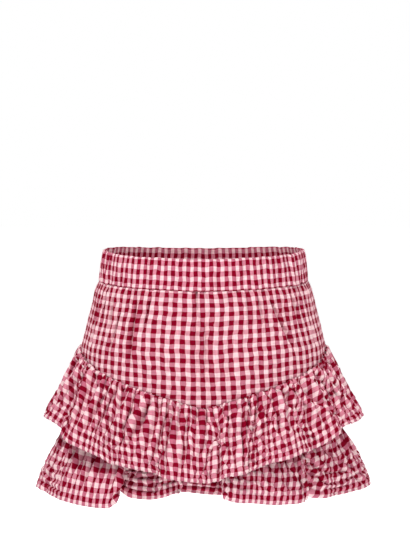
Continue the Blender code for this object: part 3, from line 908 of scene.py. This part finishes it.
TOP_FLARE = (0.036, 0.0358, 0.037)
TOP_SWING = 1.5
RUFFLES_APART = 0.003
TOP_HEM = (
    (-90, -1820), (-68, -1880), (-58, -2050), (-35, -2215), (-20, -2290), (-5, -2360), (9, -2335),
    (18, -2255), (30, -2145), (47, -2035), (56, -1940), (70, -1865), (90, -1825), (135, -1890),
    (180, -1860), (230, -1895), (270, -1820),
)
TOP_EDGE = (
    (-90, 0), (-76, 25), (-67.5, -50), (-65, -50), (-62.5, 50), (-50, 55), (-42, 20), (-36.5, -60),
    (-33, -10), (-25, 40), (-19.5, 30), (-17.5, -60), (-13, -10), (-6, 30), (-1, 0), (3, -50), (7, 20),
    (13, 40), (17, -50), (20.5, -60), (24, 30), (33, 60), (40, 10), (45, -60), (51, 20), (57, 40),
    (63, -60), (68, 10), (77, 30), (90, 0), (97, 20), (105, -70), (110, 30), (120, 50), (131, -60),
    (136, 30), (146, 45), (157, -70), (162, 30), (174, 50), (184, -55), (190, 20), (198, 40), (208.5, -70),
    (214, 30), (224, 55), (237, -60), (242, 30), (252, 45), (259, -40), (270, 0),
)
TOP_CREASES_FRONT = rows_of(Crease, (
    (-68.8, -62, 2, 120, 26, -40), (-76, -75, 0, 100, 18, -18), (-82.5, -84, 0, 120, 20, -18),
    (-55, -55.5, 5, 80, 18, -16), (-46, -39, 0, 34, 16, -26), (-47.5, -46.8, 18, 80, 18, -20),
    (-31, -46.5, 15, 100, 30, 26), (-28.5, -37, 2, 105, 22, -34), (-34.5, -49.5, 25, 110, 22, -24),
    (-19.2, -19.6, 20, 80, 16, -12), (-16, -18.6, 5, 90, 18, -26), (-12.5, -13, 0, 60, 16, -18),
    (-8, -8.5, 15, 100, 22, -18), (-3, -4, 0, 50, 16, -18), (2.5, 0, 0, 60, 18, -26),
    (8, 5.8, 25, 120, 18, -26), (13.5, 12, 10, 90, 18, -20), (19.8, 16.8, 12, 120, 13, -28),
    (23.2, 18.8, 10, 120, 13, -28), (30.5, 21.5, 0, 80, 18, -30), (34, 29, 2, 70, 18, -18),
    (40, 35.5, 0, 65, 18, -22), (48, 38, 2, 60, 17, -26), (53, 51, 5, 110, 22, -20),
    (58, 56, 0, 70, 17, -20), (65.5, 61.8, 5, 100, 20, -28), (73, 72, 0, 110, 20, -22),
    (81, 82, 0, 90, 18, -18),
))
TOP_CREASES_BACK = rows_of(Crease, (
    (98, 96, 0, 100, 20, -22), (106, 104, 5, 120, 24, -30), (115, 119, 0, 60, 18, -20),
    (124, 122, 10, 100, 22, -24), (134, 130, 0, 120, 22, -30), (141, 146, 5, 70, 18, -20),
    (150, 151, 0, 100, 20, -24), (160, 157, 5, 120, 24, -32), (170, 172, 0, 60, 18, -20),
    (179, 176, 10, 90, 20, -22), (186, 184, 0, 120, 22, -28), (195, 199, 5, 80, 18, -20),
    (205, 208, 0, 120, 24, -30), (214, 212, 0, 60, 18, -20), (226, 228, 10, 100, 22, -24),
    (236, 237, 0, 120, 22, -30), (246, 243, 5, 80, 18, -20), (256, 258, 0, 110, 20, -24),
))


def top_ruffle_form(angle, height):
    """The top ruffle flares in the same way, and clears the lower one that it hangs over."""
    own = flared(v_seam_height(angle), TOP_HEM, TOP_FLARE, TOP_SWING, TOP_EDGE, angle, height)
    clear = low_ruffle_form(angle, height) + RUFFLES_APART
    return np.maximum(own, np.where(height < low_ruffle_top(angle), clear, own))


def top_ruffle_top(angle):
    return v_seam_height(angle) - SEAM_GAP


TOP_BUNDLES = rows_of(Bundle, (
    (-83, -83, 3, 6), (-69, -63.5, 2.2, 11), (-46, -46, 3.5, 12), (-33, -40, 3.5, 11),
    (-16.5, -17.5, 2, 11), (-6, -5, 2.5, 7), (2, 0.5, 2, 6), (9, 7.5, 2.2, 8), (22, 18.5, 2.4, 11),
    (31, 24, 2.4, 7), (46, 38, 3, 11), (64, 62, 3.5, 11), (78, 78, 3, 6), (99, 97, 3, 6),
    (106, 105, 2.5, 10), (124, 123, 3, 7), (134, 131, 2.5, 11), (150, 151, 3, 7), (160, 158, 2.5, 11),
    (178, 177, 3, 6), (186, 184, 2.5, 10), (206, 208, 2.5, 11), (226, 228, 3, 7), (236, 237, 2.5, 11),
    (256, 258, 3, 7),
))


TOP_TIER = Tier(TOP_BUNDLES, (), top_ruffle_top, TOP_HEM, top_ruffle_form,
                depth=0.085, hem_hold=0.45, hem_lift=0.003, crumple=1.0, row_ease=0.97)
ruffle("top_ruffle_front", TOP_TIER, TOP_CREASES_FRONT, -90.0, 90.0, 61,
       [under_front, low_front], low_front_points[::2, ::2])
ruffle("top_ruffle_back", TOP_TIER, TOP_CREASES_BACK, 90.0, 270.0, 71,
       [under_back, low_back], low_back_points[::2, ::2])

# ---------------------------------------------------------------- shorts
# Four quarters of the same light cotton under the skirt, closed at the crotch, with the
# legs ending inside the lower ruffle.

SHORTS_CUT = 0.21  # width of each quarter
SHORTS_CLEARANCE = 0.0007  # skirt body to shorts at the waist
SHORTS_EASE = 0.006  # and this much more further down
SHORTS_EASE_DEPTH = 0.04
LEG_NARROWING = 0.18  # share of its depth that a leg loses below the crotch
CENTRE_GAP = 0.00015  # from the centre seam to the cloth on either side
SHORTS_SWELL = 0.0007
SHORTS_COLUMNS = 48
SHORTS_LEVEL_ROWS = 6
# How far the two legs are parted at each height: 1 is the crotch point.
SHORTS_LEVELS = (
    (-0.238, 1.06), (-0.221, 1.04), (-0.204, 1), (-0.197, 0.97), (-0.184, 0.88), (-0.163, 0.68),
    (-0.135, 0.38), (-0.1, 0.1), (-0.058, 0), (-0.034, 0),
)


def shorts_quarter(name, side, facing, seed):
    """Quarter from its centre or inner leg seam to its side seam, waist to leg hem."""
    rows = SHORTS_LEVEL_ROWS * (len(SHORTS_LEVELS) - 1)
    across, down = np.meshgrid(np.linspace(0.0, 1.0, SHORTS_COLUMNS + 1), np.linspace(0.0, 1.0, rows + 1))
    angle = 90.0 * across if facing < 0.0 else 180.0 - 90.0 * across
    top = band_foot_height(angle) - 0.0006
    height = top + (SHORTS_LEVELS[0][0] - top) * down
    parting = between(SHORTS_LEVELS, height)
    below_band = np.clip((-BAND_HEIGHT - height) / SHORTS_EASE_DEPTH, 0.0, 1.0)
    inset = WALL + SHORTS_CLEARANCE + SHORTS_EASE * below_band
    half_width = between(FORM, height, HALF_WIDTH) - inset
    depth = between(FORM, height, FRONT_DEPTH if facing < 0.0 else BACK_DEPTH) - inset
    depth = depth * (1.0 - LEG_NARROWING * np.minimum(parting, 1.0) ** 2)
    centre = 0.5 * parting * half_width
    reach = half_width - centre
    start = np.arcsin(np.maximum(-centre / reach, -1.0))
    turn = start + (0.5 * math.pi - start) * across
    run = across * SHORTS_CUT
    swell = uneven(seed, run, height, 0.014, 0.03) * SHORTS_SWELL
    x = side * (CENTRE_GAP + centre + (reach + swell) * np.sin(turn))
    y = facing * (CENTRE_GAP + (depth + swell) * np.cos(turn))
    points = np.stack([x, y, height], axis=-1)
    if side * facing > 0.0:
        points, run = points[:, ::-1], run[:, ::-1]
    piece = new_cloth(f"{name}_cloth", points, run, top - height,
                      crinkled_gingham(f"{name}_gingham"), WALL, False)
    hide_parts(name)


for side_name, side in (("left", 1.0), ("right", -1.0)):
    for face_name, facing in (("front", -1.0), ("back", 1.0)):
        shorts_quarter(f"shorts_{side_name}_{face_name}", side, facing, 81)

# ---------------------------------------------------------------- waistband
# A folded band of the same cotton around flat elastic. The elastic draws it up into fine
# upright puckers, and its folded edge stands at the waist opening.

BAND_WALL = 0.003
BAND_BULGE = 0.001
BAND_CUT = 0.82
BAND_COLUMNS = 760
BAND_ROW_SHARE = 0.95  # stretched band: its rows stand a little further apart
FACE_ROW_SHIFT = 0.005  # the outer face's rows against the inner one's
BAND_PUCKERS = ((0.004, 0.03, 0.0013), (0.0085, 0.022, 0.0009), (0.0028, 0.009, 0.00045))
PUCKER_STRENGTH = (0.9, 1.15, 0.9)  # in front, at the sides and behind
FIRST_ROW = 0.0033  # from the waistband's foot to its first row of checks
EDGE_TURNS = 5
FACE_ROWS = 14


def waistband():
    """Closed ring: up the outer face, over the folded edge and down the inner one."""
    radius = 0.5 * BAND_WALL
    levels = [radius + (1.0 - i / FACE_ROWS) * (BAND_HEIGHT - 2.0 * radius) for i in range(FACE_ROWS + 1)]
    turns = [math.pi * i / EDGE_TURNS for i in range(1, EDGE_TURNS)]
    section = [(0.0, level) for level in reversed(levels)]
    section += [(radius * (math.cos(turn) - 1.0), BAND_HEIGHT - radius + radius * math.sin(turn))
                for turn in turns]
    section += [(-BAND_WALL, level) for level in levels]
    section += [(radius * (-math.cos(turn) - 1.0), radius - radius * math.sin(turn)) for turn in turns]
    section.append(section[0])
    section = np.array(section[::-1])
    inward, above = section[:, 0], section[:, 1]
    angle, above = np.meshgrid(np.linspace(-90.0, 270.0, BAND_COLUMNS + 1), above)
    height = band_foot_height(angle) + above
    girth = angle * HIP_DEGREE
    wrapped = np.abs((angle + 90.0) / 360.0 - 0.5)
    closing = eased(0.5, 0.49, wrapped)
    pucker = swells(91, girth, above, BAND_PUCKERS)
    strength = around(angle, *PUCKER_STRENGTH) * closing
    bulge = BAND_BULGE * np.sin(math.pi * np.clip(above / BAND_HEIGHT, 0.0, 1.0))
    outer = np.clip(1.0 + inward[:, None] / BAND_WALL, 0.0, 1.0)
    offset = inward[:, None] + bulge + pucker * strength * (0.4 + 0.6 * outer)
    height = height + uneven(94, girth, above * 0.0, 0.006, 1.0) * 0.0005 * strength
    points = ring_points(angle, height, offset)
    smooth_points = ring_points(angle, height, inward[:, None] + bulge)
    run = run_of_cloth(points, smooth_points, drawn_thin(angle), BAND_CUT, len(section))
    steps = np.hypot(np.diff(section[:, 0]), np.diff(section[:, 1]))
    rise = np.concatenate([[0.0], np.cumsum(steps)])
    outer_start = rise[np.argmax((section[:, 0] == 0.0) & (section[:, 1] < radius + 1e-6))]
    down = (rise - outer_start)[:, None].repeat(BAND_COLUMNS + 1, 1)
    down = (down + radius - FIRST_ROW) * BAND_ROW_SHARE + PITCH * 10.0 + FACE_ROW_SHIFT * outer
    # The waistband's reddened half-tones are painted shade, as on the ruffles
    band = new_cloth("waistband_cloth", points, run, down,
                     crinkled_gingham("waistband_gingham", 0.0007, PAINTED_SHADE_RED), None, False)
    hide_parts("waistband")


waistband()

# ---------------------------------------------------------------- studio
# White floor well below the garment, as under a child who wears it, a white room, and
# soft light from above and in front.

FLOOR_HEIGHT = float(cad_low.z) - 0.42
FLOOR_HALF = 14.0

floor_mesh = bpy.data.meshes.new("floor")
corners = [(FLOOR_HALF * x, FLOOR_HALF * y, FLOOR_HEIGHT) for x, y in ((-1, -1), (1, -1), (1, 1), (-1, 1))]
floor_mesh.from_pydata(corners, [], [(0, 1, 2, 3)])
paper = bpy.data.materials.new("white_paper")
paper.use_nodes = True
paper_shader = paper.node_tree.nodes["Principled BSDF"]
paper_shader.inputs["Base Color"].default_value = (0.95, 0.95, 0.95, 1.0)
paper_shader.inputs["Roughness"].default_value = 0.95
paper_shader.inputs["Emission Color"].default_value = (1.0, 1.0, 1.0, 1.0)
paper_shader.inputs["Emission Strength"].default_value = 0.66
floor_mesh.materials.append(paper)
floor = bpy.data.objects.new("floor", floor_mesh)
bpy.context.scene.collection.objects.link(floor)

ROOM_LIGHT = 0.37
world = bpy.data.worlds.new("white_room")
world.use_nodes = True
room_nodes, room_links = world.node_tree.nodes, world.node_tree.links
room = room_nodes["Background"]
room.inputs["Color"].default_value = (1.0, 1.0, 1.0, 1.0)
seen = room_nodes.new("ShaderNodeLightPath")
room_strength = room_nodes.new("ShaderNodeMapRange")
room_strength.inputs["To Min"].default_value = ROOM_LIGHT
room_strength.inputs["To Max"].default_value = 1.0
room_links.new(seen.outputs["Is Camera Ray"], room_strength.inputs["Value"])
room_links.new(room_strength.outputs["Result"], room.inputs["Strength"])
bpy.context.scene.world = world


GARMENT_MIDDLE = (0.0, 0.0, -0.12)


def soft_light(name, place, size, watts):
    lamp = bpy.data.lights.new(name, "AREA")
    lamp.shape = "RECTANGLE"
    lamp.size, lamp.size_y = size
    lamp.energy = watts
    light = bpy.data.objects.new(name, lamp)
    bpy.context.scene.collection.objects.link(light)
    light.location = place
    direction = np.array(GARMENT_MIDDLE) - np.array(place)
    yaw = math.atan2(direction[0], direction[1])
    pitch = math.atan2(direction[2], math.hypot(direction[0], direction[1]))
    light.rotation_euler = (math.pi / 2.0 + pitch, 0.0, -yaw)


soft_light("window", (-0.9, -1.0, 2.1), (1.0, 0.7), 50.0)
soft_light("fill", (1.1, -1.5, 1.3), (1.0, 1.0), 20.5)
soft_light("back", (0.4, 1.8, 1.4), (1.4, 1.0), 30.0)

CAMERA_TILT = 4.05  # degrees down
camera_data = bpy.data.cameras.new("camera")
camera_data.lens = 134.33
camera_data.sensor_width = 36.0
camera = bpy.data.objects.new("camera", camera_data)
bpy.context.scene.collection.objects.link(camera)
camera.location = (0.0016, -2.2, 0.135)
camera.rotation_euler = (math.radians(90.0 - CAMERA_TILT), 0.0, 0.0)
bpy.context.scene.camera = camera
bpy.context.scene.view_settings.view_transform = "Standard"
